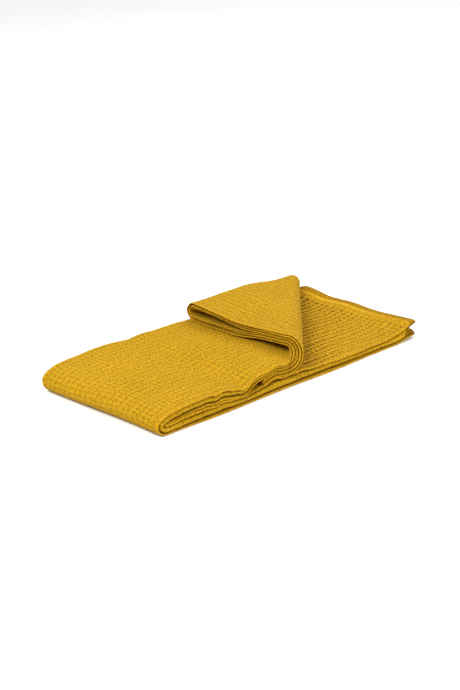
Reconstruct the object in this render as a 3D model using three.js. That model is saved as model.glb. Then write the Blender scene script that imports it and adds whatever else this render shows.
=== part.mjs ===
// A waffle-weave throw blanket, folded: four plies across, then end over end, with one corner turned back.
// Units are mm. +X runs along the folded strip to its open, hemmed end, +Y to the back, +Z up.
//
// The cloth is one sheet, followed from its lower end to its tucked end:
//   lower strip -> left turn -> upper strip -> crease -> flap -> end turn -> flap -> crease -> tucked strip
// Each run is cut into its four plies, a (the free edge on top of the lower strip) to d (against the table).
import * as THREE from "three";

// ---------------------------------------------------------------- driving sizes
const STRIP_LENGTH = 685; // the pile, left turn to open end
const STRIP_WIDTH = 325; // a quarter of the cloth's 1300 mm side
const CLOTH = 2.7; // thickness of the weave
const LOOSE_AIR = 3.7; // between plies where the pile is free
const PRESSED_AIR = 0.5; // between plies in the run that turns back at the corner
const SHOULDER_AIR = 4.5; // in the lower strip, under the front of the turned-back corner
const SETTLED_AIR = 2.2; // in the lower strip, at its back corner and where it lies open
const TIP_AIR = 3.3; // in the lower strip, at its front corner
const MIDDLE_AIR = 2.5; // in both strips, beside the tucked end
const TIP_OPENING = 7; // how far the two upper plies part from the lower two there
const CREASE_INNER = 8; // inner radius of the diagonal bend at its front end
const CREASE_INNER_BACK = 4; // and at its back end
const BACK_SQUEEZE = 0.7; // thickness of the turned-back bundle there, as a share of the front's
const CREASE_LENGTH = 50; // cloth taken up by the diagonal bend
const CREASE_OFFSET = 35; // the bend's axis stands this far inside the square corner
const TUCK_REACH = 60; // how far the tucked end runs past the crease's front end
const END_HOLLOW = 20; // height of the hollow inside the end turn
const NOSE_SLOPE = 36; // how far the upper half of the left turn is drawn out
const SIDE_HEM = 9; // width of the smooth bands along the sheet's two long sides
const END_HEM = 14; // width of the turned hems across the sheet's two ends
const THREAD = 0.9; // width of the hem stitching
const GAP = 0.3; // clearance between neighbouring solids
const JOINT = 0.8; // clearance beside a fold or a band
const PLY_END = { a: 28, b: 0, c: 8, d: 5 }; // how far each lower ply stops short of the longest

// ---------------------------------------------------------------- derived sizes
const PLIES = { a: 3, b: 2, c: 1, d: 0 }; // place in a four-ply run, counted from d
// from ply to ply, the cloth and the air over it
const [LOOSE_PITCH, PRESSED_PITCH, SHOULDER_PITCH, SETTLED_PITCH, TIP_PITCH, MIDDLE_PITCH] = [
  LOOSE_AIR,
  PRESSED_AIR,
  SHOULDER_AIR,
  SETTLED_AIR,
  TIP_AIR,
  MIDDLE_AIR,
].map((air) => CLOTH + air);
const HALF = CLOTH / 2;
const runHeight = (pitch) => CLOTH + 3 * pitch + GAP;
const RUN = runHeight(PRESSED_PITCH);
const CREASE_X = STRIP_LENGTH - STRIP_WIDTH - CREASE_OFFSET;
const TUCK_X = CREASE_X - TUCK_REACH;
const END_REACH = RUN + 6; // room the end turn takes along the strip
const END_X = STRIP_LENGTH - END_REACH; // where the end turn starts
const NOSE = CLOTH + 3 * LOOSE_PITCH + 0.75 * GAP; // axis of the left turn, and its height
const pastCrease = (x, y) => (x - CREASE_X - y) / Math.SQRT2;
// 0 at the crease's front end and 1 at the pile's back corner
const share = (x, y) => (Math.max(x, CREASE_X) - CREASE_X + y) / (STRIP_LENGTH - CREASE_X + STRIP_WIDTH);

// ---------------------------------------------------------------- heights along the strip
const smooth = (v) => {
  const t = Math.min(1, Math.max(0, v));
  return t * t * (3 - 2 * t);
};
const mix = (p, q, t) => p + (q - p) * smooth(t);

// From the left, the pile thins a little, then the tucked end lifts it to its full height.
const beneath = (x, y) => SHOULDER_PITCH + (SETTLED_PITCH - SHOULDER_PITCH) * share(x, y);
const lowerPitch = (x, y) => {
  if (x < TUCK_X - 35) return mix(LOOSE_PITCH, MIDDLE_PITCH, (x - TUCK_X + 120) / 85);
  if (x < CREASE_X) return mix(MIDDLE_PITCH, beneath(x, y), (x - TUCK_X + 35) / 65);
  const settled = mix(SETTLED_PITCH, TIP_PITCH, (x - STRIP_LENGTH + 90) / 90);
  return mix(beneath(x, y), settled, (pastCrease(x, y) - 30) / 110);
};
const upperPitch = (x) =>
  x < TUCK_X - 35
    ? mix(LOOSE_PITCH, MIDDLE_PITCH, (x - TUCK_X + 150) / 115)
    : mix(MIDDLE_PITCH, PRESSED_PITCH, (x - TUCK_X + 35) / 60);
const pressed = () => PRESSED_PITCH;
const lowerTop = (x, y) => runHeight(x < CREASE_X ? lowerPitch(x, y) : beneath(x, y)) + 3 * GAP;
const squeeze = (x, y) => mix(1, 1 + (BACK_SQUEEZE - 1) * share(x, y), (x - TUCK_X + 60) / 90);
const creaseInner = (s) => CREASE_INNER + (CREASE_INNER_BACK - CREASE_INNER) * s;
const tuckLift = (x) => RUN * smooth((x - TUCK_X + 60) / 52);
const opening = (x, y) =>
  TIP_OPENING * smooth((x - STRIP_LENGTH + 110) / 110) * smooth(pastCrease(x, y) / 120);

// ---------------------------------------------------------------- where the runs lie
// Every map takes a place on a ply: x along the run, y across it, and h up from the run's d side.
const lowerRun = (x, y, h, k) => [x, y, h + (k >= 2 ? opening(x, y) : 0)];

const leftTurn = (angle, y, h) => {
  const r = NOSE - h;
  const draw = angle > Math.PI / 2 ? NOSE_SLOPE : 0;
  return [NOSE + draw - (r + draw) * Math.sin(angle), y, NOSE - r * Math.cos(angle)];
};

// The bundle that turns back: H is the height in it before the corner is folded over.
function turnedBack(x, y, H) {
  const c = pastCrease(x, y);
  if (c <= 0) return [x, y, lowerTop(x, y) + squeeze(x, y) * H];
  const a = (x - CREASE_X + y) / Math.SQRT2; // along the crease
  const axis = [CREASE_X + a / Math.SQRT2, a / Math.SQRT2];
  const tight = squeeze(...axis),
    inner = creaseInner(share(...axis));
  const turned = (out) => [axis[0] + out / Math.SQRT2, axis[1] - out / Math.SQRT2];
  if (c < CREASE_LENGTH) {
    const angle = (Math.PI * c) / CREASE_LENGTH,
      r = inner + tight * (2 * RUN - H);
    const z = lowerTop(...axis) + tight * 2 * RUN + inner - r * Math.cos(angle);
    return [...turned(r * Math.sin(angle)), z];
  }
  const out = CREASE_LENGTH - c;
  const rest = 2 * GAP + (2 * inner - 2 * GAP) * (1 - smooth(-out / 120));
  return [...turned(out), lowerTop(...turned(out)) + tight * (4 * RUN - H) + rest];
}
const hollow = (x, y) =>
  END_HOLLOW *
  smooth((pastCrease(x, y) - CREASE_LENGTH) / 90) *
  smooth(1 - (END_X - x) / 230);

const upperRun = (x, y, h) =>
  x < TUCK_X + 30
    ? [x, y, lowerTop(x, y) + squeeze(x, y) * (tuckLift(x) + runHeight(upperPitch(x)) - h - GAP / 2)]
    : turnedBack(x, y, 2 * RUN - h - GAP / 2);
const tuckedRun = (x, y, h) => turnedBack(x, y, h + GAP / 2 - hollow(x, y));
const endTurn = (angle, y, h) => {
  const open = hollow(END_X, y) / 2,
    r = RUN - h - GAP / 2 + open;
  const x = END_X + (END_REACH * r * Math.sin(angle)) / (RUN + open);
  return turnedBack(x, y, RUN - open + r * Math.cos(angle));
};

// ---------------------------------------------------------------- outlines across a run
// A point of an outline is [y, y per pitch, h, h per pitch], so it holds wherever the pitch changes.
// Point i of the outer face always pairs with point n - 1 - i of the inner face.
const EDGE = SIDE_HEM + JOINT;
const arc = (y, side, level, face, down) =>
  [0, 1, 2, 3].map((i) => {
    const t = (Math.PI * (down ? i : 3 - i)) / 3;
    const along = side * Math.sin(t);
    return [
      y + face * HALF * along,
      along / 2,
      HALF + face * HALF * Math.cos(t),
      level - 0.5 + Math.cos(t) / 2,
    ];
  });
const pair = (y, perPitch, level) => [
  [y, perPitch, CLOTH, level],
  [y, perPitch, 0, level],
];
// One ply and the fold that joins it to the ply below. A yEnd cuts it short of that fold.
function plyOutline(name, yInner, yEnd) {
  const level = PLIES[name];
  const first = { a: pair(EDGE, 0, level), c: pair(HALF + JOINT, 0.5, level), d: pair(EDGE, 0, level) }[name];
  const outer = [],
    inner = [];
  const push = ([p, q]) => {
    outer.push(p);
    inner.push(q);
  };
  if (first) push(first);
  else {
    const faces = [1, -1].map((face) => arc(HALF, -1, level, face, false));
    faces[0].forEach((p, i) => push([[p[0], p[1] + 0.5, p[2], p[3]], shift(faces[1][i], 0.5)]));
  }
  if (name === "b" || name === "c") push(pair(EDGE, 0, level));
  for (const y of yInner) push(pair(y, 0, level));
  if (yEnd !== undefined) push(pair(yEnd, 0, level));
  else if (name === "b" || name === "d") push(pair(STRIP_WIDTH - HALF - JOINT, -0.5, level));
  else {
    const faces = [1, -1].map((face) => arc(STRIP_WIDTH - HALF, 1, level, face, true));
    faces[0].forEach((p, i) => push([shift(p, -0.5), shift(faces[1][i], -0.5)]));
  }
  return [...outer, ...inner.reverse()];
}
function shift([y, perPitch, h, level], by) {
  return [y, perPitch + by, h, level];
}
// A flat band on one ply, through each y across and from z0 to z1 above the ply's underside.
const bandOutline = (name, ys, z0, z1) => {
  const face = (z) => ys.map((y) => [y, 0, z, PLIES[name]]);
  return [...face(z1), ...face(z0).reverse()];
};

// ---------------------------------------------------------------- rings: an outline set somewhere on a run
const place = (outline, pitchAt, xAt, map, k) =>
  outline.map(([y0, perPitch, h0, level]) => {
    const pitch = pitchAt(xAt(y0), y0),
      y = y0 + perPitch * pitch;
    return map(xAt(y), y, h0 + level * pitch, k);
  });
const across = (x) => () => x; // straight across the strip
const leaning = (lean) => (y) => mixLine(CREASE_X - 20, CREASE_X + y, lean);
const mixLine = (p, q, t) => p + (q - p) * t;
const alongCrease = (c) => (y) => CREASE_X + y + c * Math.SQRT2;
const steps = (from, to, count) =>
  Array.from({ length: count + 1 }, (_, i) => from + ((to - from) * i) / count);

const START_X = NOSE + NOSE_SLOPE;
const leftXs = [
  START_X,
  ...steps(TUCK_X - 150, TUCK_X - 60, 3),
  ...steps(TUCK_X - 51, TUCK_X - 8, 5),
  TUCK_X,
  TUCK_X + END_HEM + GAP,
  TUCK_X + 29,
  CREASE_X - 20,
];
const backOf = (c) => END_X - CREASE_X - c * Math.SQRT2; // where a line at c meets the end turn
const FIRST_C = backOf(0) / Math.SQRT2 - STRIP_WIDTH / Math.SQRT2; // the line through the back corner
const leanSteps = steps(0, 1, 3).slice(1);
const creaseSteps = steps(FIRST_C, CREASE_LENGTH, 7).slice(1, -1);
const creaseCs = [FIRST_C + GAP, ...creaseSteps, CREASE_LENGTH - GAP];
const flapTip = (END_X - CREASE_X - EDGE - 2.5) / Math.SQRT2;
const flapSteps = [0, 0.14, 0.27, 0.44, 0.63, 0.87].map((f) => mixLine(CREASE_LENGTH, flapTip, f));
const turnHalf = [0, 0.2, 0.45, 0.8, 1.2];
const turnAngles = [...turnHalf, Math.PI / 2, ...turnHalf.map((t) => Math.PI - t).reverse()];
const turnCs = [...steps(FIRST_C, CREASE_LENGTH, 14).slice(1, -1), ...flapSteps];
const turnYs = turnCs.map(backOf).reverse();

// ---------------------------------------------------------------- solids
const group = new THREE.Group();
const weave = new THREE.MeshStandardMaterial({ name: "waffle_weave", color: 0xd9a520, roughness: 0.9 });
const hemCloth = new THREE.MeshStandardMaterial({ name: "hem_weave", color: 0xd29a1c, roughness: 0.85 });
const thread = new THREE.MeshStandardMaterial({ name: "hem_thread", color: 0xe3b43a, roughness: 0.7 });

// Joins rings of points into one closed solid.
function loft(name, material, rings) {
  const n = rings[0].length,
    index = [];
  const quad = (p, q, r, s) => index.push(p, q, r, p, r, s);
  for (let j = 0; j + 1 < rings.length; j++)
    for (let i = 0; i < n; i++) {
      const p = j * n,
        q = (i + 1) % n;
      quad(p + i, p + q, p + q + n, p + i + n);
    }
  const top = (rings.length - 1) * n;
  for (let i = 0; i < n / 2 - 1; i++) {
    quad(i + 1, i, n - 1 - i, n - 2 - i);
    quad(top + i, top + i + 1, top + n - 2 - i, top + n - 1 - i);
  }
  const points = rings.flat();
  const at = (i) => new THREE.Vector3(...points[i]);
  let volume = 0;
  for (let i = 0; i < index.length; i += 3)
    volume += at(index[i]).dot(at(index[i + 1]).cross(at(index[i + 2])));
  if (volume < 0) index.reverse();
  const geometry = new THREE.BufferGeometry();
  geometry.setAttribute("position", new THREE.Float32BufferAttribute(points.flat(), 3));
  geometry.setIndex(index);
  const mesh = new THREE.Mesh(geometry, material);
  mesh.name = name;
  group.add(mesh);
}

// The rings of each run, for any outline: the plies and the bands along their edges share them.
const lowerRings = (outline, name, xs) =>
  xs.map((x) => place(outline, lowerPitch, across(x), lowerRun, PLIES[name]));
const openXs = (to) => [...steps(CREASE_X, STRIP_LENGTH - 100, 5), STRIP_LENGTH - 65, to];
const leftRings = (outline, angles) =>
  angles.map((t) => place(outline, () => LOOSE_PITCH, across(t), leftTurn));
const upperRings = (outline) => [
  ...leftXs.map((x) => place(outline, upperPitch, across(x), upperRun)),
  ...leanSteps.map((t) => place(outline, pressed, leaning(t), upperRun)),
  ...[FIRST_C / 3, (2 * FIRST_C) / 3, FIRST_C].map((c) => place(outline, pressed, alongCrease(c), upperRun)),
];
const tuckedRings = (outline, firstX) => [
  ...[firstX, TUCK_X + 29, CREASE_X - 20].map((x) => place(outline, pressed, across(x), tuckedRun)),
  ...leanSteps.map((t) => place(outline, pressed, leaning(t), tuckedRun)),
  ...[FIRST_C / 3, (2 * FIRST_C) / 3, FIRST_C].map((c) => place(outline, pressed, alongCrease(c), tuckedRun)),
];

for (const name of ["a", "b", "c", "d"]) {
  const end = STRIP_LENGTH - PLY_END[name];
  const whole = plyOutline(name, []);

  // lower strip, its end hem and the stitching on it
  const inside = steps(0, STRIP_WIDTH, 4).slice(1, -1);
  const lower = plyOutline(name, inside);
  loft(
    "lower_ply_" + name,
    weave,
    lowerRings(lower, name, [NOSE, ...leftXs, ...openXs(end - END_HEM - GAP)]),
  );
  loft("lower_end_hem_" + name, hemCloth, lowerRings(lower, name, [end - END_HEM, end]));
  const stitching = bandOutline(name, [EDGE + 3, ...inside, STRIP_WIDTH - 10], CLOTH + 0.25, CLOTH + 0.65);
  loft(
    "hem_stitching_" + name,
    thread,
    lowerRings(stitching, name, [end - END_HEM + 2, end - END_HEM + 2 + THREAD]),
  );

  // left turn
  const inset = GAP / NOSE; // keeps the ends of the turn off the strips
  const nose = [inset, 0.4, 0.8, 1.2, Math.PI / 2, 1.95, 2.35, 2.75, Math.PI - inset];
  loft("left_turn_" + name, weave, leftRings(whole, nose));

  // upper and tucked strips, as far as the crease's line through the back corner
  loft("upper_ply_" + name, weave, upperRings(whole));
  loft("tucked_ply_" + name, weave, tuckedRings(whole, TUCK_X + END_HEM + GAP));
  loft(
    "tucked_end_hem_" + name,
    hemCloth,
    [TUCK_X, TUCK_X + END_HEM].map((x) => place(whole, pressed, across(x), tuckedRun)),
  );

  // crease and flap, for the upper run and for the tucked run over it
  for (const [run, map] of [
    ["under", upperRun],
    ["over", tuckedRun],
  ]) {
    const cut = (c) => {
      const stop = backOf(c) - JOINT;
      const inner = [0.25, 0.5, 0.75].map((f, i) => Math.max(f * stop, EDGE + 0.4 * (i + 1)));
      return place(plyOutline(name, inner, stop), pressed, alongCrease(c), map);
    };
    loft("crease_" + run + "_" + name, weave, creaseCs.map(cut));
    loft("flap_" + run + "_" + name, weave, [...flapSteps, flapTip].map(cut));
  }

  // end turn
  loft(
    "end_turn_" + name,
    weave,
    turnAngles.map((t) => place(plyOutline(name, turnYs), pressed, across(t), endTurn)),
  );
}

// The bands along the sheet's two long sides follow every run from end to end.
for (const name of ["a", "d"]) {
  const band = bandOutline(name, [0, SIDE_HEM], 0, CLOTH);
  const cs = [...creaseCs, ...flapSteps, flapTip];
  loft("side_hem_" + name, hemCloth, [
    ...lowerRings(band, name, [START_X, ...leftXs.slice(1), ...openXs(STRIP_LENGTH - PLY_END[name])].reverse()),
    ...leftRings(band, [0, 0.4, 0.8, 1.2, Math.PI / 2, 1.95, 2.35, 2.75]),
    ...upperRings(band),
    ...cs.map((c) => place(band, pressed, alongCrease(c), upperRun)),
    ...turnAngles.map((t) => place(band, pressed, across(t), endTurn)),
    ...cs.reverse().map((c) => place(band, pressed, alongCrease(c), tuckedRun)),
    ...tuckedRings(band, TUCK_X).reverse(),
  ]);
}

// ---------------------------------------------------------------- origin: bottom centre of the whole pile
const box = new THREE.Box3().setFromObject(group);
const middle = box.getCenter(new THREE.Vector3());
for (const mesh of group.children) mesh.geometry.translate(-middle.x, -middle.y, -box.min.z);

export default group;
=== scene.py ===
import math

import bpy
import numpy as np
from mathutils import Matrix, Vector


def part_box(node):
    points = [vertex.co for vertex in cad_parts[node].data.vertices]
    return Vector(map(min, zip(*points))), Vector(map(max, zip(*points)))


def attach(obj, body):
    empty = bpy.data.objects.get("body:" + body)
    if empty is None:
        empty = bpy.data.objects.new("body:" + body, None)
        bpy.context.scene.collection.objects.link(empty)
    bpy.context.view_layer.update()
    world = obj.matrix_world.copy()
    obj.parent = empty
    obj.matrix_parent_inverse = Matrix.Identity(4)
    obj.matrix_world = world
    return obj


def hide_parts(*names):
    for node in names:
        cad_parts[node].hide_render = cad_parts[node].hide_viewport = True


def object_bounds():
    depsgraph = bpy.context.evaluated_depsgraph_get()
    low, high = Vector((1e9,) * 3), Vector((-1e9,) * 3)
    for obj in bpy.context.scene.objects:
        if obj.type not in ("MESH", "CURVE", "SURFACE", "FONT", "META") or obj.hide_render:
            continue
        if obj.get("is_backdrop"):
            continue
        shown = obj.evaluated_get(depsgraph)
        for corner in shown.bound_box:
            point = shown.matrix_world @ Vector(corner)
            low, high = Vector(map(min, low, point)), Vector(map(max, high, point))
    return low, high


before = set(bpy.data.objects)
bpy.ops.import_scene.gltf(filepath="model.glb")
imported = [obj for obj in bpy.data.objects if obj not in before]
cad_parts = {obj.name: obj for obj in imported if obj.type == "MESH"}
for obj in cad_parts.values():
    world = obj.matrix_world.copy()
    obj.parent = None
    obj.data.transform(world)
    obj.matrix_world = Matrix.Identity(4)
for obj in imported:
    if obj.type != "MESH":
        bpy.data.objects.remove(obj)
CAD_LOW, CAD_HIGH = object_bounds()
PI = math.pi
R2 = math.sqrt(2)

# The throw is one sheet, 1.30 x 1.80 m. A point on it is (s, t): s along it from its lower, hemmed end to
# the tucked end, t across it from the free edge of ply a to the free edge of ply d. Ply d lies on the table
# and ply a on top of the lower strip. Sizes are in mm, as in the CAD part.
L, W = 685.0, 325.0
CLOTH = 2.7
HALF = CLOTH / 2
# distance from ply to ply, by place
LOOSE, PRESSED, SHOULDER, SETTLED, TIP, MIDDLE = 6.4, 3.2, 7.2, 4.9, 6.0, 5.2
TIP_OPENING, INNER, INNER_BACK, SQUEEZE_BACK = 7.0, 8.0, 4.0, 0.7
CREASE_LENGTH, END_HOLLOW, NOSE_SLOPE, GAP = 50.0, 20.0, 36.0, 0.3
CREASE_BACK, TUCK_REACH, END_BULGE = 35, 60, 6
SIDE_HEM, END_HEM = 9.0, 14.0
RUN = CLOTH + 3 * PRESSED + GAP
CREASE_X = L - W - CREASE_BACK
TUCK_X = CREASE_X - TUCK_REACH
STEP_X = TUCK_X - 35
END_REACH = RUN + END_BULGE
END_X = L - END_REACH
NOSE = CLOTH + 3 * LOOSE + 0.75 * GAP
START_X = NOSE + NOSE_SLOPE
CELL_S, CELL_T = 10.4, 14.3  # the weave's cell, along and across
RELIEF = 2.1  # depth of a cell

# How the folded shape departs from the plain one of the CAD part.
# The open end. Each ply stops short by its own amount, at each of T_KNOTS: a at the front, a at the back,
# then b, c and d.
PLY_END = (20.0, 23.0, 0.0, 0.0, 8.0, 8.0, 5.0, 5.0)
PLY_END_RUN = 150
ROUNDED = 8  # how far a corner or fold is rounded off
PUSH, PUSH_FROM, PUSH_RUN = 17, 46, 40  # the front fold is pushed in, from this far from the end
CORNER_LIFT, END_LIFT = 5, 8.5
# The front edge. The front fold and ply a's edge stand back from ply d's free edge.
FOLD_BACK, PLY_A_BACK = 2.0, 2.2
FRONT_ZONE = 60
FAT, FAT_ZONE = 0.95, 18  # how much fuller a loose ply is along the edge
PAIRED = 0.13  # how far plies b and c, joined by the front fold, close up where all are pressed
STAND_OFF = 2.6  # of the outer ply at the hollow end
# The whole pile.
PLY_PLAY = 0.42  # share of the air between plies that a ply wanders in
EDGE_PLAY = 2.2  # wandering of the folds in and out
NOSE_RAISE, TOP_RAISE = 4.5, 3  # the pile is fuller at its back
DRAWN_IN = 4.2  # the turned-back part, as a whole
TOP_RISE, KINK_RISE = 1.6, 2.6
NOSE_BACK, NOSE_PLAY = 6, 1.2
MEAN_PITCH = 5.0  # near enough to find where across the strip a point lies


# ------------------------------------------------------------------ where the runs lie, as in the CAD part
def clip(v):
    return np.clip(v, 0, 1)


def smooth(v):
    v = clip(v)
    return v * v * (3 - 2 * v)


def mix(p, q, v):
    return p + (q - p) * smooth(v)


def past_crease(x, y):
    return (x - CREASE_X - y) / R2


def share(x, y):
    return (np.maximum(x, CREASE_X) - CREASE_X + y) / (L - CREASE_X + W)


def height(p):
    return CLOTH + 3 * p + GAP


def beneath(x, y):
    return SHOULDER + (SETTLED - SHOULDER) * share(x, y)


def lower_pitch(x, y):
    left = mix(LOOSE, MIDDLE, (x - TUCK_X + 120) / 85)
    lift = mix(MIDDLE, beneath(x, y), (x - TUCK_X + 35) / 65)
    settled = mix(SETTLED, TIP, (x - L + 90) / 90)
    opened = mix(beneath(x, y), settled, (past_crease(x, y) - 30) / 110)
    return np.where(x < STEP_X, left, np.where(x < CREASE_X, lift, opened))


def upper_pitch(x):
    return np.where(
        x < STEP_X,
        mix(LOOSE, MIDDLE, (x - TUCK_X + 150) / 115),
        mix(MIDDLE, PRESSED, (x - TUCK_X + 35) / 60),
    )


def lower_top(x, y):
    return height(np.where(x < CREASE_X, lower_pitch(x, y), beneath(x, y))) + 3 * GAP


def squeeze(x, y):
    return mix(1, 1 + (SQUEEZE_BACK - 1) * share(x, y), (x - TUCK_X + 60) / 90)


def turned_back(x, y, H):
    """The bundle that turns back over the diagonal crease. H is the height in it before that."""
    c = past_crease(x, y)
    a = (x - CREASE_X + y) / R2
    ax, ay = CREASE_X + a / R2, a / R2
    flat = (x, y, lower_top(x, y) + squeeze(x, y) * H)
    tight, inner = squeeze(ax, ay), INNER + (INNER_BACK - INNER) * share(ax, ay)
    angle = PI * c / CREASE_LENGTH
    r = inner + tight * (2 * RUN - H)
    out = r * np.sin(angle)
    bend = (ax + out / R2, ay - out / R2, lower_top(ax, ay) + tight * 2 * RUN + inner - r * np.cos(angle))
    out = CREASE_LENGTH - c
    rest = 2 * GAP + (2 * inner - 2 * GAP) * (1 - smooth(-out / 120))
    bx, by = ax + out / R2, ay - out / R2
    over = (bx, by, lower_top(bx, by) + tight * (4 * RUN - H) + rest)
    return [np.where(c <= 0, f, np.where(c < CREASE_LENGTH, b, o)) for f, b, o in zip(flat, bend, over)]


def hollow(x, y):
    return (
        END_HOLLOW
        * smooth((past_crease(x, y) - CREASE_LENGTH) / 90)
        * smooth(1 - (END_X - x) / 230)
    )


def opening(x, y):
    return TIP_OPENING * smooth((x - L + 110) / 110) * smooth(past_crease(x, y) / 120)


# s at which each run ends: lower strip, left turn, upper strip, end turn, tucked strip
LEFT_TURN, END_TURN = 84, 60
S_LOWER = L - NOSE
S_LEFT = S_LOWER + LEFT_TURN
S_UPPER = S_LEFT + END_X - START_X
S_END = S_UPPER + END_TURN
S_ALL = S_END + END_X - TUCK_X
RUN_ENDS = (S_LOWER, S_LEFT, S_UPPER, S_END)
LEFT_LOW = 0.36  # share of the left turn's length that is its lower, round half
# t at which each ply and fold ends
FOLD_RADIUS = 2.5
FOLD = PI * FOLD_RADIUS
T_A = W - HALF - FOLD_RADIUS
T_AB = T_A + FOLD
T_B = T_AB + W - CLOTH - 2 * FOLD_RADIUS
T_BC = T_B + FOLD
T_C = T_BC + W - CLOTH - 2 * FOLD_RADIUS
T_CD = T_C + FOLD
T_ALL = T_CD + T_A
T_KNOTS = [0, T_A, T_AB, T_B, T_BC, T_C, T_CD, T_ALL]


def waves(count, low, high, seed):
    """A smooth, seeded wandering between about -1 and 1 over a plane, with wavelengths from low to high."""
    g = np.random.default_rng(seed)
    k = 2 * PI / g.uniform(low, high, count)
    turn = g.uniform(0, 2 * PI, count)
    phase = g.uniform(0, 2 * PI, count)
    weight = 1 / np.sqrt(k)
    weight /= np.sqrt((weight**2).sum() / 2) * 1.6  # so that few values pass 1

    def at(p, q):
        total = 0
        for i in range(count):
            total = total + weight[i] * np.sin(k[i] * (p * np.cos(turn[i]) + q * np.sin(turn[i])) + phase[i])
        return np.clip(total, -1, 1)

    return at


PLY_WAVES = waves(9, 70, 260, 3)  # how a ply wanders in the air between its neighbours
EDGE_WAVES = waves(9, 60, 300, 11)  # how a fold or free edge wanders in and out
TOP_WAVES = waves(7, 90, 260, 5)  # slow rise and fall of the whole pile
KINKS = waves(7, 26, 70, 15)  # short wrinkles along the front edge, shared by the pile
PLY_KINKS = waves(7, 22, 60, 31)  # and each ply's own


def section(s, t, p):
    """(y, h, ny, nh) of the sheet's middle at (s, t), where plies are p apart. n points to side 1."""
    k = np.clip(np.searchsorted(T_KNOTS, t, side="right") - 1, 0, 6)
    lo, hi = np.array(T_KNOTS)[k], np.array(T_KNOTS)[k + 1]
    f = (t - lo) / (hi - lo)
    near, far = HALF + p / 2, W - HALF - p / 2
    level = np.array([3, 2.5, 2, 1.5, 1, 0.5, 0])[k]
    side = np.array([1, 1, -1, -1, 1, 1, -1])[k]  # whether side 1 looks up, or outward at a fold
    front = k == 3
    th = PI * f
    pushed = smooth((PUSH_FROM - s) / PUSH_RUN)
    bulge = (-p / 2 * (1 - pushed) + PUSH * pushed) * np.sin(th)
    near = near + FOLD_BACK
    y = np.select(
        [k == 0, (k == 1) | (k == 5), k == 2, front, k == 4],
        [
            PLY_A_BACK + f * (far - PLY_A_BACK),
            far + p / 2 * np.sin(th),
            far + f * (near - far),
            near + bulge,
            near + f * (far - near),
        ],
        far * (1 - f),
    )
    fold = (k % 2) == 1
    h = HALF + level * p + np.where(fold, p / 2 * np.cos(th), 0)
    ny = np.where(fold, np.sin(th) * np.where(front, 1, side), 0)
    nh = np.where(fold, np.cos(th) * np.where(front, -1, side), side)
    return y, h, ny, nh


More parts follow.
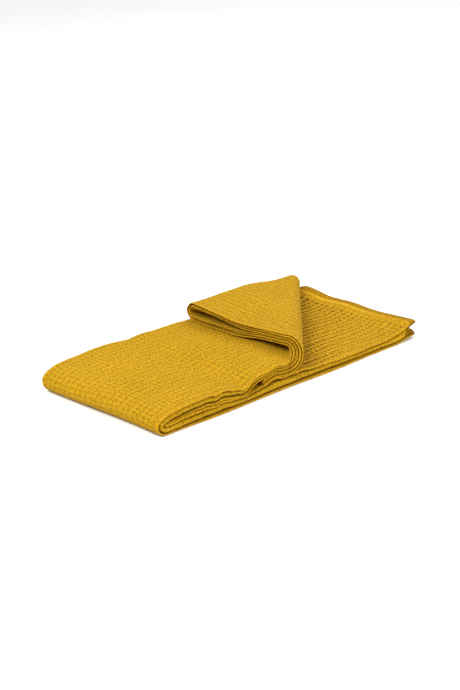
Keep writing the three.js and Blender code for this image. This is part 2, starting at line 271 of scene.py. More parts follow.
def place(s, t, q):
    """The point of the sheet at (s, t), q above its middle on side 1, in mm."""
    s, t, q = np.broadcast_arrays(*(np.asarray(v, float) for v in (s, t, q)))
    # x in each run, with the open end's plies cut to length and its corners and folds rounded
    x_low = L - s
    x_low = x_low - np.interp(t, T_KNOTS, PLY_END) * smooth((x_low - L + PLY_END_RUN) / PLY_END_RUN)
    corner = np.minimum(t, T_ALL - t)
    x_low = x_low - ROUNDED * smooth(1 - s / 16) * smooth(1 - corner / 15) ** 2
    fold = np.minimum.reduce([np.abs(t - end - FOLD / 2) for end in (T_A, T_B, T_C)])
    x_low = x_low - ROUNDED * smooth(1 - s / 20) * smooth(1 - fold / 20) ** 2
    x_up = START_X + (s - S_LEFT)
    x_tuck = END_X - (s - S_END)
    run = np.searchsorted(RUN_ENDS, s, side="right")
    x = np.choose(run, [x_low, NOSE + 0 * s, x_up, END_X + 0 * s, x_tuck])
    # the angle round each turn
    u = (s - S_LOWER) / (S_LEFT - S_LOWER)
    left = np.where(u < LEFT_LOW, u / LEFT_LOW, 1 + (u - LEFT_LOW) / (1 - LEFT_LOW)) * PI / 2
    end_angle = PI * (s - S_UPPER) / (S_END - S_UPPER)
    # y across the strip, and the height h in the pile of four, with a level of 0 for ply d and 3 for ply a
    rough_y, *_ = section(s, t, MEAN_PITCH + 0 * s)
    pressed = PRESSED + 0 * s
    p = np.choose(run, [lower_pitch(x, rough_y), LOOSE + 0 * s, upper_pitch(x), pressed, pressed])
    y, h, ny, nh = section(s, t, p)
    level = (h - HALF) / p
    inside = np.minimum(level, 1) * (p - CLOTH) * PLY_PLAY
    edge = smooth(1 - y / FRONT_ZONE)
    calm = 1 - 0.75 * smooth((x - CREASE_X) / 40)  # the flat triangle's edge is straight
    own = (1 - 0.35 * edge) * PLY_WAVES(s, t) + 0.75 * edge * calm * PLY_KINKS(s, t * 0.5)
    own = (inside * (1 - 0.5 * edge) + 0.07 * (p - CLOTH) * edge * np.minimum(level, 1)) * np.clip(own, -1, 1)
    pair = np.clip(3 - 2 * level, -1, 1) * ((level > 0.99) & (level < 2.01))
    h = h + own + PAIRED * p * edge * pair * clip((LOOSE - p) / (LOOSE - PRESSED))
    # ply d's outer face keeps its place
    fat = FAT * smooth(1 - y / FAT_ZONE) * (p - PRESSED) / PRESSED
    q = q * (1 + np.where((t > T_CD) & (q > 0), 0, fat))
    turned = clip((s - S_UPPER) / (S_END - S_UPPER))
    h = h + STAND_OFF * edge * np.minimum(level, 1) * turned * clip(hollow(x, y) / 6)
    out = EDGE_PLAY * EDGE_WAVES(s * 0.8, t * 3) * smooth(np.abs(y - W / 2) / (W / 2))
    y = y + out + q * ny
    h = h + q * nh
    got = []
    # lower strip
    curled = 1 - 0.7 * smooth(y / 100) * smooth((W - y) / 90)  # the corners lift more than the middle
    lift = (opening(x, y) + CORNER_LIFT * curled * smooth((x - L + 50) / 50)) * smooth(level - 1)
    lift = lift + END_LIFT * smooth((x - L + 75) / 75) * curled
    got.append((x, y, h + lift))
    # left turn
    r = NOSE - h
    draw = np.where(left > PI / 2, NOSE_SLOPE, 0)
    back_up = smooth(y / W * 1.4 - 0.25)
    z_left = NOSE - r * np.cos(left) + NOSE_RAISE * back_up * smooth(left / (PI / 2) - 1)
    got.append((NOSE + draw - (r + draw) * np.sin(left), y, z_left))
    # upper strip
    tuck = RUN * smooth((x - TUCK_X + 60) / 52)
    free_z = lower_top(x, y) + squeeze(x, y) * (tuck + height(upper_pitch(x)) - h - GAP / 2)
    raised = NOSE_RAISE + TOP_RAISE * smooth((x - START_X) / 60)
    free = (x, y, free_z + back_up * raised * smooth((TUCK_X - 8 - x) / 45))
    back = turned_back(x, y, 2 * RUN - h - GAP / 2)
    got.append([np.where(x < TUCK_X + 30, a, b) for a, b in zip(free, back)])
    # end turn
    open_ = hollow(END_X, y) / 2
    r = RUN - h - GAP / 2 + open_
    pointed = 1 - 0.12 * smooth(1 - y / 140) * (1 - np.sin(end_angle) ** 6)
    ex = END_X + END_REACH * r * np.sin(end_angle) * pointed / (RUN + open_)
    got.append(turned_back(ex, y, RUN - open_ + r * np.cos(end_angle)))
    # tucked strip
    got.append(turned_back(x, y, h + GAP / 2 - hollow(x, y)))
    xyz = [np.choose(run, [g[i] for g in got]) for i in range(3)]
    drawn = np.where(run >= 2, DRAWN_IN * smooth((past_crease(xyz[0], xyz[1]) + 70) / 70), 0)
    xyz[0], xyz[1] = xyz[0] - drawn, xyz[1] + 0.35 * drawn * smooth((W - xyz[1]) / 60)
    return settle(np.stack(xyz, -1))


def settle(P):
    """The slow, soft unevenness of the whole pile. It moves neighbouring plies together."""
    x, y, z = P[..., 0], P[..., 1], P[..., 2]
    up = smooth(z / 30)
    kink = smooth((x - 70) / 90) * (0.35 + 0.65 * smooth((400 - x) / 120)) * smooth(1 - np.abs(y) / 80)
    z2 = z + (TOP_RISE * TOP_WAVES(x, y) + KINK_RISE * KINKS(x, y * 0.4) * kink) * up
    x2 = x - NOSE_BACK * smooth(y / W) * smooth(1 - x / 110)
    x2 = x2 + NOSE_PLAY * TOP_WAVES(y + 400, z * 3) * smooth(1 - x / 90)
    return np.stack([x2, y, z2], -1)


# ------------------------------------------------------------------ distance along the cloth, for the weave
S_TABLE = np.concatenate([
    *(np.linspace(a, b, n, endpoint=False)
      for a, b, n in zip((0, *RUN_ENDS), RUN_ENDS, (260, 90, 420, 60))),
    np.linspace(S_END, S_ALL, 300),
])
T_TABLE = np.unique(np.concatenate([
    np.linspace(T_KNOTS[i], T_KNOTS[i + 1], 25 if i % 2 == 0 else 5) for i in range(7)
]))
_mid = place(S_TABLE[:, None], T_TABLE[None, :], 0.0)
_step = np.linalg.norm(np.diff(_mid, axis=0), axis=2)
ALONG = np.vstack([np.zeros((1, len(T_TABLE))), np.cumsum(_step, axis=0)])


def along(s, t):
    """How far along the cloth (s, t) really is, measured on the folded surface."""
    i = np.clip(np.searchsorted(S_TABLE, s) - 1, 0, len(S_TABLE) - 2)
    j = np.clip(np.searchsorted(T_TABLE, t) - 1, 0, len(T_TABLE) - 2)
    a = (s - S_TABLE[i]) / (S_TABLE[i + 1] - S_TABLE[i])
    b = (t - T_TABLE[j]) / (T_TABLE[j + 1] - T_TABLE[j])
    return (
        ALONG[i, j] * (1 - a) * (1 - b)
        + ALONG[i + 1, j] * a * (1 - b)
        + ALONG[i, j + 1] * (1 - a) * b
        + ALONG[i + 1, j + 1] * a * b
    )


WEAVE_DRIFT = waves(6, 120, 420, 21)
CELL_DRIFT = waves(8, 17, 45, 23)  # how a cell sits off its place, and how deep it is


def weave_at(s, t):
    """Cloth coordinates (u, v) in mm, with the slight drift of a hand-folded cloth."""
    u = along(s, t)
    u, v = u + 2.2 * WEAVE_DRIFT(s, t), t + 1.6 * WEAVE_DRIFT(t + 900, s)
    return u + 0.8 * CELL_DRIFT(u, v), v + 1.0 * CELL_DRIFT(v + 500, u)


RIDGE, FLANK = 0.14, 1.65  # a ridge's half width, as a share of half a cell, and how steep its side is
PIT_SHARE, SADDLE_SHARE = 0.78, 0.22


def cell(u, v):
    """Depth into the waffle, 0 at the crossing of two ridges and 1 at the middle of a cell."""
    fu = np.abs(u / CELL_S - np.round(u / CELL_S)) * 2  # 1 on a ridge, 0 in the middle of a cell
    fv = np.abs(v / CELL_T - np.round(v / CELL_T)) * 2
    pit = smooth((1 - np.maximum(fu, fv) - RIDGE) * FLANK)
    saddle = 1 - (1 - np.cos(PI * fu)) * (1 - np.cos(PI * fv)) / 4
    return clip(PIT_SHARE * pit + SADDLE_SHARE * saddle * saddle)


# ------------------------------------------------------------------ mesh making
def stitch(A, pa, B, pb, flip=False):
    """Triangles between two rows of vertices, A and B, at places pa and pb along them."""
    faces, i, j = [], 0, 0
    while i + 1 < len(A) or j + 1 < len(B):
        if j + 1 >= len(B) or (i + 1 < len(A) and pa[i + 1] <= pb[j + 1] + 1e-9):
            faces.append((A[i], A[i + 1], B[j]))
            i += 1
        else:
            faces.append((B[j + 1], B[j], A[i]))
            j += 1
    return [f[::-1] for f in faces] if flip else faces


def grid(rows, first, flip):
    """Faces of one side. rows is [(s, T array)], and first the index of its first vertex."""
    quads, tris, starts = [], [], []
    n = first
    for _, T in rows:
        starts.append(n)
        n += len(T)
    for r in range(len(rows) - 1):
        Ta, Tb, a, b = rows[r][1], rows[r + 1][1], starts[r], starts[r + 1]
        if Ta is Tb:
            c = np.arange(len(Ta) - 1)
            quad = np.stack([a + c, a + c + 1, b + c + 1, b + c], 1)
            quads.append(quad[:, ::-1] if flip else quad)
        else:
            tris += stitch(list(range(a, a + len(Ta))), Ta, list(range(b, b + len(Tb))), Tb, flip)
    return quads, tris, starts, n


SHARP = 55  # degrees between two faces from which their edge is sharp


def make_mesh(name, points, quads, tris, uv):
    tris = np.array(tris, int).reshape(-1, 3)
    loops = np.concatenate([quads.ravel(), tris.ravel()]).astype(np.int32)
    mesh = bpy.data.meshes.new(name)
    mesh.vertices.add(len(points))
    mesh.vertices.foreach_set("co", points.astype(np.float32).ravel())
    mesh.loops.add(len(loops))
    mesh.loops.foreach_set("vertex_index", loops)
    starts = np.concatenate([np.arange(len(quads)) * 4, len(quads) * 4 + np.arange(len(tris)) * 3])
    mesh.polygons.add(len(starts))
    mesh.polygons.foreach_set("loop_start", starts.astype(np.int32))
    mesh.update(calc_edges=True)
    mesh.validate()
    layer = mesh.uv_layers.new(name="Cloth")
    index = np.zeros(len(mesh.loops), np.int32)
    mesh.loops.foreach_get("vertex_index", index)
    layer.data.foreach_set("uv", uv[index].astype(np.float32).ravel())
    mesh.polygons.foreach_set("use_smooth", np.ones(len(mesh.polygons), bool))
    mesh.set_sharp_from_angle(angle=math.radians(SHARP))
    obj = bpy.data.objects.new(name, mesh)
    bpy.context.scene.collection.objects.link(obj)
    return obj


PLY_D_LOW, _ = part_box("lower_ply_d")
ORIGIN = np.array([PLY_D_LOW.x - NOSE / 1000, PLY_D_LOW.y - (SIDE_HEM + 0.8) / 1000, CAD_LOW.z])


def to_frame(P):
    return P / 1000 + ORIGIN


def cloth(name, rows1, rows2, depth, edges):
    """A closed piece of cloth. rows1 and rows2 are the rows of side 1 and side 2, depth(side, s, t, u, v)
    how far the surface lies below full thickness, and edges what is left of the thickness towards the
    piece's rim."""
    points, uvs = [], []
    for side, rows in ((1, rows1), (-1, rows2)):
        s = np.concatenate([np.full(len(T), v) for v, T in rows])
        t = np.concatenate([T for _, T in rows])
        u, v = weave_at(s, t)
        q = side * (HALF - depth(side, s, t, u, v)) * edges(s, t)
        points.append(place(s, t, q))
        uvs.append(np.stack([u, v], 1) / 1000)
    quads1, tris1, st1, n1 = grid(rows1, 0, False)
    quads2, tris2, st2, _ = grid(rows2, n1, True)
    S1, S2 = [r[0] for r in rows1], [r[0] for r in rows2]
    end1 = [a + len(r[1]) - 1 for a, r in zip(st1, rows1)]
    end2 = [a + len(r[1]) - 1 for a, r in zip(st2, rows2)]
    tris = tris1 + tris2
    tris += stitch(st1, S1, st2, S2)
    tris += stitch(end1, S1, end2, S2, True)
    for row, flip in ((0, True), (-1, False)):
        A = list(range(st1[row], end1[row] + 1))
        B = list(range(st2[row], end2[row] + 1))
        tris += stitch(A, rows1[row][1], B, rows2[row][1], flip)
    P = to_frame(np.concatenate(points))
    quads, tris = np.concatenate(quads1 + quads2), np.array(tris, int)
    centred = P - P.mean(0)

    def volume(f):
        return np.einsum("ij,ij->", centred[f[:, 0]], np.cross(centred[f[:, 1]], centred[f[:, 2]]))

    if volume(quads[:, :3]) + volume(quads[:, [0, 2, 3]]) + volume(tris) < 0:
        quads, tris = quads[:, ::-1], tris[:, ::-1]
    return make_mesh(name, P, quads, tris, np.concatenate(uvs))


def steps(a, b, size):
    return np.linspace(a, b, max(2, int(math.ceil(abs(b - a) / size)) + 1))


def joined(*parts):
    return np.unique(np.round(np.concatenate(parts), 5))


def fold_t(a, b, n=10):
    return np.linspace(a, b, n + 1)


def rows_from(bands):
    """Rows (s, T) from bands (places s, T), without a repeat where two bands meet."""
    rows = []
    for places, T in bands:
        for v in places:
            if not rows or v > rows[-1][0] + 1e-6:
                rows.append((v, T))
    return rows


# ------------------------------------------------------------------ the waffle panel
FINE = 1.0
HEM_GAP = 0.25
S_IN, S_OUT = END_HEM + HEM_GAP, S_ALL - END_HEM - HEM_GAP
T_IN, T_OUT = SIDE_HEM + HEM_GAP, T_ALL - SIDE_HEM - HEM_GAP
SEAM = T_C - 1  # where the two weave pieces meet, hidden inside the fold from c to d
T_SEAM = SEAM - 0.2
# s up to which the cloth shows: ply a on the lower strip, then ply d on the upper strip and on the flap
S_SHOWN = L - CREASE_X + 8
TOP_SHOWN = S_LEFT + CREASE_X - START_X + 60
FLAP_SHOWN = S_END + END_X - CREASE_X
S_ROUND = S_LOWER + (S_LEFT - S_LOWER) * LEFT_LOW


def by_run(*sizes):
    """Places along the sheet between its end hems, given the distance between them in each of the runs."""
    knots = (S_IN, *RUN_ENDS, S_OUT)
    return [steps(a, b, size) for a, b, size in zip(knots, knots[1:], sizes)]


def pressed_edges(s, t):
    """The cloth is thinner towards the strip's front edge, so that the gaps between plies open there."""
    near = np.minimum(np.minimum(t, T_ALL - t), np.abs(t - (T_B + T_BC) / 2))
    return 0.72 + 0.28 * smooth((near - 4) / 22)


def relief(s, t, u, v):
    """The waffle's full depth. It fades out into the hems."""
    fade = smooth((t - SIDE_HEM - 1) / 6) * smooth((T_ALL - SIDE_HEM - 1 - t) / 6)
    fade = fade * smooth((s - S_IN - 1) / 6) * smooth((S_OUT - 1 - s) / 6)
    return RELIEF * cell(u, v) * fade * (0.87 + 0.13 * CELL_DRIFT(v + 90, u + 300))


def relief_d(side, s, t, u, v):
    """The waffle of ply d: deep on the face that shows, except where it is drawn tight round the left
    turn, and shallow on the face inside the pile."""
    taut = 1 - 0.5 * smooth((s - S_LOWER + 10) / 25) * smooth((S_LEFT + 15 - s) / 25)
    return (taut if side == 1 else 0.22) * relief(s, t, u, v)


def relief_abc(side, s, t, u, v):
    """The waffle of plies a to c: deep on ply a's top past the crease. The rest lies inside the pile."""
    if side == -1:
        return 0.18 * relief(s, t, u, v)
    open_ = smooth((S_SHOWN - s) / 5) * smooth((T_AB + 1 - t) / 4)
    deeper = 1.1 + 0.05 * smooth((s - 90) / 160)
    return relief(s, t, u, v) * (0.3 + (deeper - 0.3) * open_)


d_fine = joined(fold_t(T_C, T_CD), steps(SEAM, T_C, 3), steps(T_CD, T_OUT, 2.05 * FINE))
d_mid = joined(fold_t(T_C, T_CD), steps(SEAM, T_C, 3), steps(T_CD, T_OUT, 3.6 * FINE))
d_back = joined(fold_t(T_C, T_CD, 6), steps(SEAM, T_C, 7), steps(T_CD, T_OUT, 9))
pieces = {}
pieces["weave_ply_d"] = cloth(
    "weave_ply_d",
    rows_from([
        (steps(S_IN, S_LOWER, 2.7 * FINE), d_mid),
        (steps(S_LOWER, S_ROUND, 1.25 * FINE), d_fine),
        (steps(S_ROUND, S_LEFT, 0.85 * FINE), d_fine),
        (steps(S_LEFT, TOP_SHOWN, 1.5 * FINE), d_fine),
        (steps(TOP_SHOWN, S_UPPER, 2.7 * FINE), d_mid),
        (steps(S_UPPER, S_END, 1.25 * FINE), d_fine),
        (steps(S_END, FLAP_SHOWN, 1.3 * FINE), d_fine),
        (steps(FLAP_SHOWN, S_OUT, 5), d_mid),
    ]),
    rows_from([(places, d_back) for places in by_run(6, 4, 5, 4, 5)]),
    relief_d,
    pressed_edges,
)

abc_fine = joined(steps(T_IN, T_A, 2.05 * FINE), fold_t(T_A, T_AB), steps(T_AB, T_B, 24),
                  fold_t(T_B, T_BC, 6), steps(T_BC, T_SEAM, 24))
abc_hidden = joined(steps(T_IN, T_IN + 24, 4), steps(T_IN + 24, T_A - 12, 20), steps(T_A - 12, T_A, 4),
                    fold_t(T_A, T_AB, 8), steps(T_AB, T_B, 24), fold_t(T_B, T_BC, 6),
                    steps(T_BC, T_SEAM, 24))
abc_back = joined(steps(T_IN, T_IN + 24, 4), steps(T_IN + 24, T_A, 20), fold_t(T_A, T_AB, 6),
                  steps(T_AB, T_B - 12, 22), steps(T_B - 12, T_B, 3), fold_t(T_B, T_BC),
                  steps(T_BC, T_BC + 12, 3), steps(T_BC + 12, T_SEAM, 22))
hidden_s = by_run(2.7, 2, 2.7, 2.2, 2.7)
pieces["weave_plies_abc"] = cloth(
    "weave_plies_abc",
    rows_from([
        (steps(S_IN, S_SHOWN, 1.5 * FINE), abc_fine),
        (steps(S_SHOWN, S_LOWER, 2.7), abc_hidden),
        *((places, abc_hidden) for places in hidden_s[1:]),
    ]),
    rows_from([(places, abc_back) for places in hidden_s]),
    relief_abc,
    pressed_edges,
)


# ------------------------------------------------------------------ hems
RIM = 1.4  # width over which a free edge is rounded
RIB_PITCH, RIB_RISE, RIB_BASE = 5.2, 0.12, 0.05


def round_in(d, width):
    """Thickness towards an edge at distance d, rounded over the given width."""
    w = clip(d / width)
    return np.sqrt(np.maximum(1 - (1 - w) ** 2, 0.03))


def ribbed(w):
    """Depth of a plain band with faint ribs across w."""
    return -RIB_RISE * np.sin(2 * PI * w / RIB_PITCH) ** 2 * 0.8 + RIB_BASE


def side_edges(t0, t1, free_low):
    def at(s, t):
        low, high = t - t0, t1 - t
        free, joint = (low, high) if free_low else (high, low)
        ends = np.minimum(s, S_ALL - s)
        return 0.8 * round_in(free, RIM) * (0.72 + 0.28 * round_in(joint, 1.0)) * round_in(ends, 1.2)
    return at


def side_depth(side, s, t, u, v):
    return ribbed(u)


rim_steps = np.array([0, 0.3, 0.8, RIM])
side_s = [
    joined(rim_steps, steps(RIM, S_LOWER, 2.4)),
    steps(S_LOWER, S_LEFT, 1.6),
    steps(S_LEFT, S_UPPER, 2.4),
    steps(S_UPPER, S_END, 1.8),
    joined(steps(S_END, S_ALL - RIM, 2.4), S_ALL - rim_steps),
]
band = np.array([0, 0.12, 0.4, 0.8, RIM, 3.2, 5.5, 7.4, 8.3, 8.8, SIDE_HEM])
for name, T, low in (("side_band_a", band, True), ("side_band_d", T_ALL - band[::-1], False)):
    rows = rows_from([(places, T) for places in side_s])
    pieces[name] = cloth(name, rows, rows, side_depth, side_edges(T[0], T[-1], low))


def end_edges(s0, s1):
    def at(s, t):
        free, joint = (s - s0, s1 - s) if s0 == 0 else (s1 - s, s - s0)
        return round_in(free, RIM) * (0.75 + 0.25 * round_in(joint, 1.0)) * pressed_edges(s, t)
    return at


def end_depth(side, s, t, u, v):
    """The end hems are plain bands, but on ply a of the lower one the waffle shows through."""
    if side == -1:
        return ribbed(v)
    through = smooth((T_A + 1 - t) / 6) * smooth((s - 2) / 3) * smooth((END_HEM - s) / 1.5)
    return ribbed(v) + 1.1 * cell(u, v) * through


end_across = joined(steps(T_IN, T_A, 2.4), fold_t(T_A, T_AB, 8), steps(T_AB, T_B, 2.4),
                    fold_t(T_B, T_BC, 8), steps(T_BC, T_C, 2.4), fold_t(T_C, T_CD, 8),
                    steps(T_CD, T_ALL - T_IN, 2.4))
down = np.array([0, 0.12, 0.4, 0.8, RIM, 3.5, 6, 8.5, 11, 12.6, 13.3, 13.8, END_HEM])
for name, places in (("lower_end_hem", down), ("tucked_end_hem", S_ALL - down[::-1])):
    rows = [(v, end_across) for v in places]
    pieces[name] = cloth(name, rows, rows, end_depth, end_edges(places[0], places[-1]))


# ------------------------------------------------------------------ stitching on the end hem
STITCH, STITCH_PITCH, THREAD_RISE, THREAD_HALF = 3.0, 4.1, 0.42, 0.5
# a stitch's shape: place along it, and width there
STITCH_SHAPE = [(-0.5, 0.0), (-0.42, 0.62), (-0.2, 0.95), (0.2, 0.95), (0.42, 0.62), (0.5, 0.0)]
RING = 6


def stitches(name, s_at):
    """A row of single stitches on each side of the hem, sunk a little into it."""
    pts, faces = [], []
    t = np.arange(T_IN + 3, T_ALL - T_IN - 3, STITCH_PITCH)
    for side in (1, -1):
        for m in t[t < T_CD] if side == 1 else t:  # none under the pile
            base = len(pts)
            for px, wide in STITCH_SHAPE[1:-1]:
                for i in range(RING):
                    a = 2 * PI * i / RING
                    q = side * (HALF + 0.1 + THREAD_RISE * wide * math.sin(a))
                    pts.append((s_at + THREAD_HALF * wide * math.cos(a), m + px * STITCH, q))
            for px, _ in (STITCH_SHAPE[0], STITCH_SHAPE[-1]):
                pts.append((s_at, m + px * STITCH, side * (HALF + 0.02)))
            rows = len(STITCH_SHAPE) - 2
            for r in range(rows - 1):
                for i in range(RING):
                    a, b = base + r * RING + i, base + r * RING + (i + 1) % RING
                    faces.append((a, b, b + RING, a + RING) if side > 0 else (a, a + RING, b + RING, b))
            tip0, tip1 = base + rows * RING, base + rows * RING + 1
            for i in range(RING):
                a, b = base + i, base + (i + 1) % RING
                faces.append((b, a, tip0) if side > 0 else (a, b, tip0))
                a, b = base + (rows - 1) * RING + i, base + (rows - 1) * RING + (i + 1) % RING
                faces.append((a, b, tip1) if side > 0 else (b, a, tip1))
    pts = np.array(pts)
    P = to_frame(place(pts[:, 0], pts[:, 1], pts[:, 2] * pressed_edges(pts[:, 0], pts[:, 1])))
    quads = np.array([f for f in faces if len(f) == 4], int)
    tris = [f for f in faces if len(f) == 3]
    return make_mesh(name, P, quads, tris, pts[:, :2] / 1000)


pieces["hem_stitching"] = stitches("hem_stitching", END_HEM - 2.6)


# ------------------------------------------------------------------ materials
YARN_U, YARN_V = 0.00104, 0.00119  # m from yarn to yarn, along and across
FLOAT_PITCH = 0.0047  # m from one slanting float to the next inside a cell
RIM_WIDTH = 0.0032  # m of the end hem that are lightest: the painted highlight on ply a's rim
DARK_AT, LIGHT_AT = 0.10, 0.66  # tones at which the dark and the light colour lie


def material(name, rgb, dark, rough, weave=True):
    m = bpy.data.materials.new(name)
    m.use_nodes = True
    nodes, links = m.node_tree.nodes, m.node_tree.links
    out = nodes["Principled BSDF"]
    out.inputs["Roughness"].default_value = rough
    out.inputs["Specular IOR Level"].default_value = 0.12
    out.inputs["Sheen Weight"].default_value = 0.03
    out.inputs["Sheen Roughness"].default_value = 0.5
    out.inputs["Sheen Tint"].default_value = (1.0, 0.7, 0.25, 1)

    def node(kind, **set_to):
        n = nodes.new(kind)
        for k, v in set_to.items():
            if k in n.inputs:
                n.inputs[k].default_value = v
            else:
                setattr(n, k, v)
        return n

    def calc(op, *values):
        n = node("ShaderNodeMath", operation=op)
        for i, v in enumerate(values):
            if isinstance(v, (int, float)):
                n.inputs[i].default_value = v
            else:
                links.new(v, n.inputs[i])
        return n.outputs[0]

    def add(a, b):
        return calc("ADD", a, b)

    def minus(a, b):
        return calc("SUBTRACT", a, b)

    def times(a, b):
        return calc("MULTIPLY", a, b)

    def below(a, b):
        return calc("LESS_THAN", a, b)

    def noise(scale, detail):
        n = node("ShaderNodeTexNoise", Scale=scale, Detail=detail)
        links.new(uv.outputs[0], n.inputs["Vector"])
        return n.outputs["Fac"]

    def figure(axis, size):
        """A wave that is 1 in the middle of each cell and -1 on its ridges."""
        return calc("COSINE", times(axis, 2 * PI / (size / 1000)))

    uv = node("ShaderNodeUVMap", uv_map="Cloth")
    split = node("ShaderNodeSeparateXYZ")
    links.new(uv.outputs[0], split.inputs[0])
    u, v = split.outputs[0], split.outputs[1]
    # yarns: one wave along and one across, each yarn a little uneven
    wobble = noise(260.0, 2.0)
    off = times(minus(wobble, 0.5), 2.4)
    yarn_u = calc("ABSOLUTE", calc("SINE", add(times(u, PI / YARN_U), off)))
    yarn_v = calc("ABSOLUTE", calc("SINE", add(times(v, PI / YARN_V), off)))
    yarns = add(times(yarn_u, 0.5), times(yarn_v, 0.5))
    fuzz = noise(1400.0, 3.0)
    bump = node("ShaderNodeBump", Strength=0.55, Distance=0.0005)
    links.new(add(yarns, times(fuzz, 0.6)), bump.inputs["Height"])
    links.new(bump.outputs[0], out.inputs["Normal"])
    # tone: slow patches of dye, darker between yarns, with specks
    patch = noise(9.0, 3.0)
    tone = add(times(patch, 0.22), times(yarns, 0.34))
    tone = add(tone, times(minus(wobble, 0.26), 1.5))
    speck = noise(620.0, 2.0)
    tone = add(tone, times(minus(speck, 0.5), 1.1))
    if weave:
        # painted shade in a cell's middle, and a painted highlight where its ridges cross
        fu, fv = figure(u, CELL_S), figure(v, CELL_T)
        pit = times(times(add(fu, 1.0), add(fv, 1.0)), 0.25)
        pit = calc("POWER", pit, 1.6)
        crossing_highlight = times(times(minus(1.0, fu), minus(1.0, fv)), 0.25)
        # painted shade: the cells' middles are darker still on ply a beside the crease, in the crease's
        # shadow
        where = add(u, v)
        ply_a = below(v, T_AB / 1000)
        open_ = node("ShaderNodeMapRange")
        for i, value in ((1, 0.13), (2, 0.32), (3, 0.0), (4, 0.95)):
            open_.inputs[i].default_value = value
        links.new(where, open_.inputs[0])
        open_ = times(open_.outputs[0], times(ply_a, below(where, 0.6)))
        # painted shade: each cell's middle darkened, more on ply a and most beside the crease
        tone = minus(tone, times(pit, add(open_, add(times(ply_a, 0.12), 0.16))))
        # painted highlight where the ridges cross
        tone = add(tone, times(crossing_highlight, 0.2))
        # the finer figure inside a cell: floats that cross it slantwise
        slant = calc("SINE", add(times(add(u, times(v, 0.45)), 2 * PI / FLOAT_PITCH), off))
        tone = add(tone, times(slant, 0.13))
    else:
        # the end hem: a painted highlight on ply a's rim, painted shade in the middles of the cells that show
        # through on ply a, and darker on the plies inside
        ply_a = below(v, T_A / 1000)
        rim_highlight = times(below(u, RIM_WIDTH), ply_a)
        pit = times(figure(u, CELL_S), figure(v, CELL_T))
        tone = minus(tone, times(times(ply_a, pit), 0.12))
        inner = times(below(u, (END_HEM + 4) / 1000), minus(1.0, ply_a))
        tone = add(tone, minus(times(rim_highlight, 0.8), times(inner, 0.28)))
    ramp = node("ShaderNodeValToRGB")
    ramp.color_ramp.elements[0].position = DARK_AT
    ramp.color_ramp.elements[0].color = (*dark, 1)
    ramp.color_ramp.elements[1].position = LIGHT_AT
    ramp.color_ramp.elements[1].color = (*rgb, 1)
    top = ramp.color_ramp.elements.new(1.0)
    top.color = (rgb[0] * 1.35, rgb[1] * 1.45, rgb[2] * 5, 1)
    links.new(tone, ramp.inputs[0])
    links.new(ramp.outputs[0], out.inputs["Base Color"])
    return m


mats = {
    "waffle_weave": material("waffle_weave", (0.383, 0.207, 0.0018), (0.135, 0.054, 0.0004), 0.95),
    "hem_weave": material("hem_weave", (0.425, 0.222, 0.0022), (0.17, 0.07, 0.0006), 0.95, weave=False),
    "hem_thread": material("hem_thread", (0.50, 0.27, 0.006), (0.38, 0.185, 0.003), 0.8, weave=False),
}
runs = ("lower_ply", "left_turn", "upper_ply", "tucked_ply", "crease_under", "crease_over",
        "flap_under", "flap_over", "end_turn")
# each piece's slot and the CAD nodes it stands for
stand_for = {
    "weave_ply_d": ("waffle_weave", [f"{r}_d" for r in runs]),
    "weave_plies_abc": ("waffle_weave", [f"{r}_{p}" for r in runs for p in "abc"]),
    "side_band_a": ("hem_weave", ["side_hem_a"]),
    "side_band_d": ("hem_weave", ["side_hem_d"]),
    "lower_end_hem": ("hem_weave", [f"lower_end_hem_{p}" for p in "abcd"]),
    "tucked_end_hem": ("hem_weave", [f"tucked_end_hem_{p}" for p in "abcd"]),
    "hem_stitching": ("hem_thread", [f"hem_stitching_{p}" for p in "abcd"]),
}
for name, obj in pieces.items():
    slot, cad_nodes = stand_for[name]
    obj.data.materials.append(mats[slot])
    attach(obj, "root")
    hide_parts(*cad_nodes)


# ------------------------------------------------------------------ floor, light and camera
def plain_material(name, rgb, rough):
    m = bpy.data.materials.new(name)
    m.use_nodes = True
    m.node_tree.nodes["Principled BSDF"].inputs["Base Color"].default_value = (*rgb, 1)
    m.node_tree.nodes["Principled BSDF"].inputs["Roughness"].default_value = rough
    return m


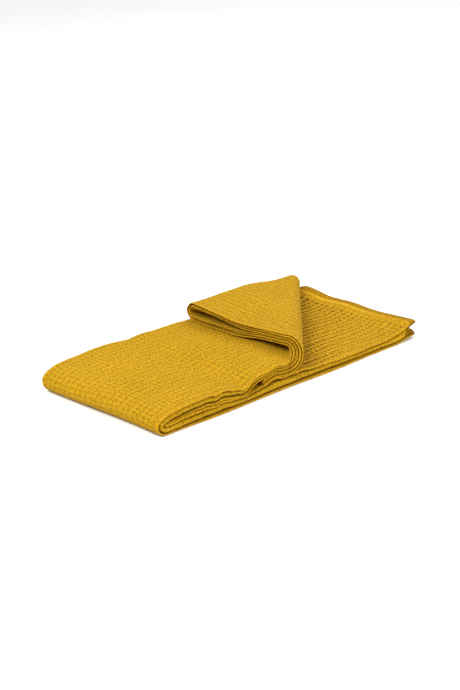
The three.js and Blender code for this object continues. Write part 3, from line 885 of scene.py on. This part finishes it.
bpy.ops.mesh.primitive_plane_add(size=30, location=(0, 0, CAD_LOW.z - 0.0002))
floor = bpy.context.object
floor.name = "floor"
floor.data.materials.append(plain_material("floor_white", (0.93, 0.93, 0.93), 0.9))
floor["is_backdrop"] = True

WORLD_LIGHT = 0.72
world = bpy.context.scene.world or bpy.data.worlds.new("World")
bpy.context.scene.world = world
world.use_nodes = True
world.node_tree.nodes["Background"].inputs[0].default_value = (1, 1, 1, 1)
world.node_tree.nodes["Background"].inputs[1].default_value = WORLD_LIGHT
bpy.context.scene.view_settings.view_transform = "Standard"

LAMPS_AIM = (0, 0, 0.03)


def lamp(name, at, size, watts):
    data = bpy.data.lights.new(name, "AREA")
    data.shape = "DISK"
    data.size = size
    data.energy = watts
    obj = bpy.data.objects.new(name, data)
    obj.location = at
    obj.rotation_euler = (Vector(LAMPS_AIM) - Vector(at)).to_track_quat("-Z", "Y").to_euler()
    bpy.context.scene.collection.objects.link(obj)


lamp("key", at=(-1.75, -0.15, 2.15), size=1.5, watts=60)
lamp("fill", at=(0.6, -2.4, 1.7), size=1.8, watts=40)
lamp("back", at=(1.8, 0.9, 2.0), size=1.6, watts=28)

AZIMUTH, ELEVATION, ROLL = -42.52, 21.65, -1.64  # degrees
# the focal length and the picture's long side in one unit, and the sensor's long side in mm
FOCAL, LONG_SIDE, SENSOR = 2400, 690, 36
DISTANCE = 2.400 / 0.5220
AIM, AIM_RIGHT, AIM_UP = (0, 0, 0.040), -0.0108, -0.0020
az, el, roll = math.radians(AZIMUTH), math.radians(ELEVATION), math.radians(ROLL)
fwd = Vector((-math.sin(az) * math.cos(el), math.cos(az) * math.cos(el), -math.sin(el)))
right = Vector((math.cos(az), math.sin(az), 0))
up = right.cross(fwd)
location = Vector(AIM) + right * AIM_RIGHT + up * AIM_UP - fwd * DISTANCE
rolled_right = right * math.cos(roll) + up * math.sin(roll)
rolled_up = -right * math.sin(roll) + up * math.cos(roll)
camera = bpy.data.cameras.new("camera")
camera.lens, camera.sensor_width = FOCAL * SENSOR / LONG_SIDE, SENSOR
camera.clip_start, camera.clip_end = 0.1, 50
cam = bpy.data.objects.new("camera", camera)
turn = Matrix((rolled_right, rolled_up, -fwd)).transposed()
cam.matrix_world = Matrix.Translation(location) @ turn.to_4x4()
bpy.context.scene.collection.objects.link(cam)
bpy.context.scene.camera = cam

bpy.context.view_layer.update()
low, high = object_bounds()
